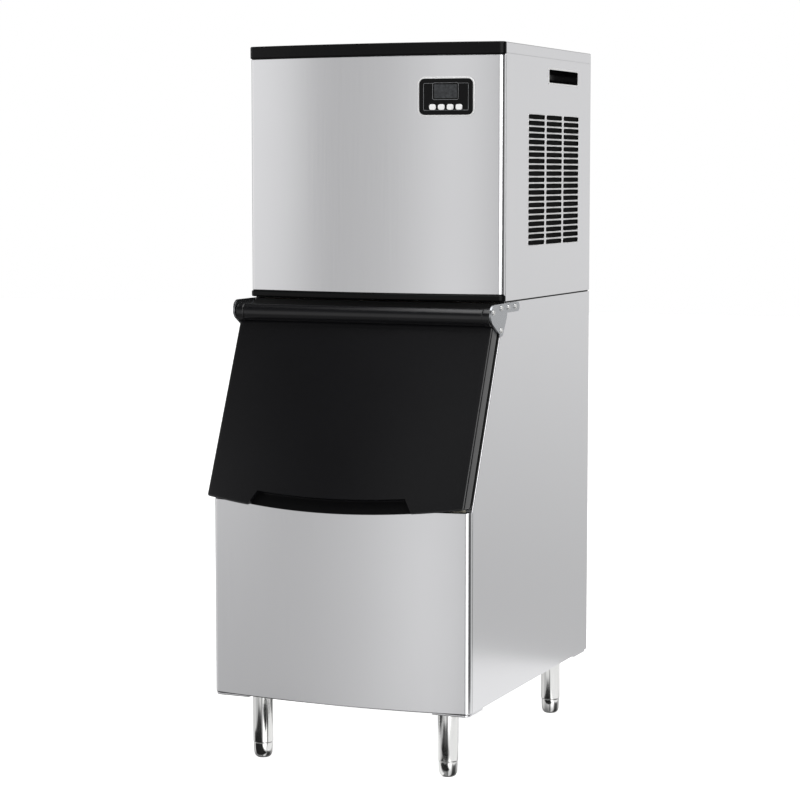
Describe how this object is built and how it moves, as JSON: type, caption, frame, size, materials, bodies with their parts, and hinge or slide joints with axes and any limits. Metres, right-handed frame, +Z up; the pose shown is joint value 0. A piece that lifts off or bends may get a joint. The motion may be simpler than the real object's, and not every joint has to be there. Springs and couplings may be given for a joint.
{
  "type": "cube ice maker",
  "caption": "Upright cube ice maker: a brushed steel head with side vents and a control panel stands on a slant-front insulated bin with a flip-up black door, on round legs.",
  "frame": {"origin": "centre of the bounding box at floor level, under the four feet", "axes": "+Z up; -Y is the front, where the door is; +X is the machine's left-hand side seen from behind, the right-hand side seen from the front"},
  "size_m": [0.5734, 0.7876, 1.4623],
  "materials": {
    "brushed_steel": "vertical brushed stainless steel",
    "polished_steel": "polished stainless steel",
    "plated_evaporator": "nickel-plated",
    "zinc_sheet": "dull galvanised sheet",
    "gloss_black": "black moulded plastic, soft gloss",
    "matte_black": "matte black plastic",
    "black_rubber": "matte",
    "white_liner": "smooth food-grade liner",
    "foam": "foamed insulation",
    "grey_plastic": "smooth grey plastic",
    "copper": "drawn copper",
    "black_enamel": "black enamel",
    "circuit_board": "green solder mask",
    "dark_window": "dark display window",
    "silver_button": "satin silver"
  },
  "bodies": {
    "cabinet": {"back_left_leg": "polished_steel", "back_right_leg": "polished_steel", "bin_back_panel": "zinc_sheet", "bin_bottom_panel": "zinc_sheet", "bin_door_frame": "matte_black", "bin_drain": "matte_black", "bin_front_panel": "brushed_steel", "bin_insulation": "foam", "bin_left_side": "brushed_steel", "bin_liner": "white_liner", "bin_right_side": "brushed_steel", "cable_gland": "matte_black", "compressor": "black_enamel", "condenser": "zinc_sheet", "control_bezel": "gloss_black", "control_board": "circuit_board", "display_window": "dark_window", "drain_outlet": "matte_black", "evaporator": "plated_evaporator", "fan_motor": "black_enamel", "fan_shroud": "zinc_sheet", "front_left_leg": "polished_steel", "front_right_leg": "polished_steel", "head_back_panel": "zinc_sheet", "head_base_pan": "zinc_sheet", "head_bottom_trim": "gloss_black", "head_front_panel": "brushed_steel", "head_left_side": "brushed_steel", "head_right_side": "brushed_steel", "head_seal": "black_rubber", "head_top_cover": "brushed_steel", "head_top_trim": "gloss_black", "hinge_rod": "polished_steel", "left_handle_cup": "gloss_black", "left_hinge_plate": "polished_steel", "partition": "zinc_sheet", "refrigerant_pipe": "copper", "right_handle_cup": "gloss_black", "right_hinge_plate": "polished_steel", "water_distributor": "grey_plastic", "water_inlet": "polished_steel", "water_pump": "black_enamel", "water_trough": "grey_plastic"},
    "door": {"door_shell": "gloss_black", "door_left_cap": "gloss_black", "door_right_cap": "gloss_black", "door_inner_panel": "white_liner", "door_gasket": "black_rubber"},
    "curtain": {"water_curtain": "grey_plastic"},
    "fan": {"fan": "matte_black"},
    "button_1": {"control_button_1": "silver_button"},
    "button_2": {"control_button_2": "silver_button"},
    "button_3": {"control_button_3": "silver_button"},
    "button_4": {"control_button_4": "silver_button"},
    "front_left_foot": {"front_left_foot": "polished_steel"},
    "front_right_foot": {"front_right_foot": "polished_steel"},
    "back_left_foot": {"back_left_foot": "polished_steel"},
    "back_right_foot": {"back_right_foot": "polished_steel"}
  },
  "joints": [
    {"name": "door_hinge", "type": "hinge", "parent": "cabinet", "child": "door", "pos_m": [0, -0.22016, 0.91801], "axis": [-1, 0, 0], "range_deg": [0, 105]},
    {"name": "curtain_hinge", "type": "hinge", "parent": "cabinet", "child": "curtain", "pos_m": [0, -0.04247, 1.337], "axis": [-1, 0, 0], "range_deg": [0, 15]},
    {"name": "fan_spin", "type": "hinge", "parent": "cabinet", "child": "fan", "pos_m": [0.1977, 0.13953, 1.1088], "axis": [1, 0, 0], "continuous": true},
    {"name": "button_1_press", "type": "slide", "parent": "cabinet", "child": "button_1", "axis": [-0.1173, 0.9931, 0], "range_m": [0, 0.0012], "stiffness_N_per_m": 400, "springref_m": -0.0015},
    {"name": "button_2_press", "type": "slide", "parent": "cabinet", "child": "button_2", "axis": [-0.1173, 0.9931, 0], "range_m": [0, 0.0012], "stiffness_N_per_m": 400, "springref_m": -0.0015},
    {"name": "button_3_press", "type": "slide", "parent": "cabinet", "child": "button_3", "axis": [-0.1173, 0.9931, 0], "range_m": [0, 0.0012], "stiffness_N_per_m": 400, "springref_m": -0.0015},
    {"name": "button_4_press", "type": "slide", "parent": "cabinet", "child": "button_4", "axis": [-0.1173, 0.9931, 0], "range_m": [0, 0.0012], "stiffness_N_per_m": 400, "springref_m": -0.0015},
    {"name": "front_left_foot_height", "type": "slide", "parent": "cabinet", "child": "front_left_foot", "axis": [0, 0, 1], "range_m": [-0.025, 0]},
    {"name": "front_right_foot_height", "type": "slide", "parent": "cabinet", "child": "front_right_foot", "axis": [0, 0, 1], "range_m": [-0.025, 0]},
    {"name": "back_left_foot_height", "type": "slide", "parent": "cabinet", "child": "back_left_foot", "axis": [0, 0, 1], "range_m": [-0.025, 0]},
    {"name": "back_right_foot_height", "type": "slide", "parent": "cabinet", "child": "back_right_foot", "axis": [0, 0, 1], "range_m": [-0.025, 0]}
  ]
}
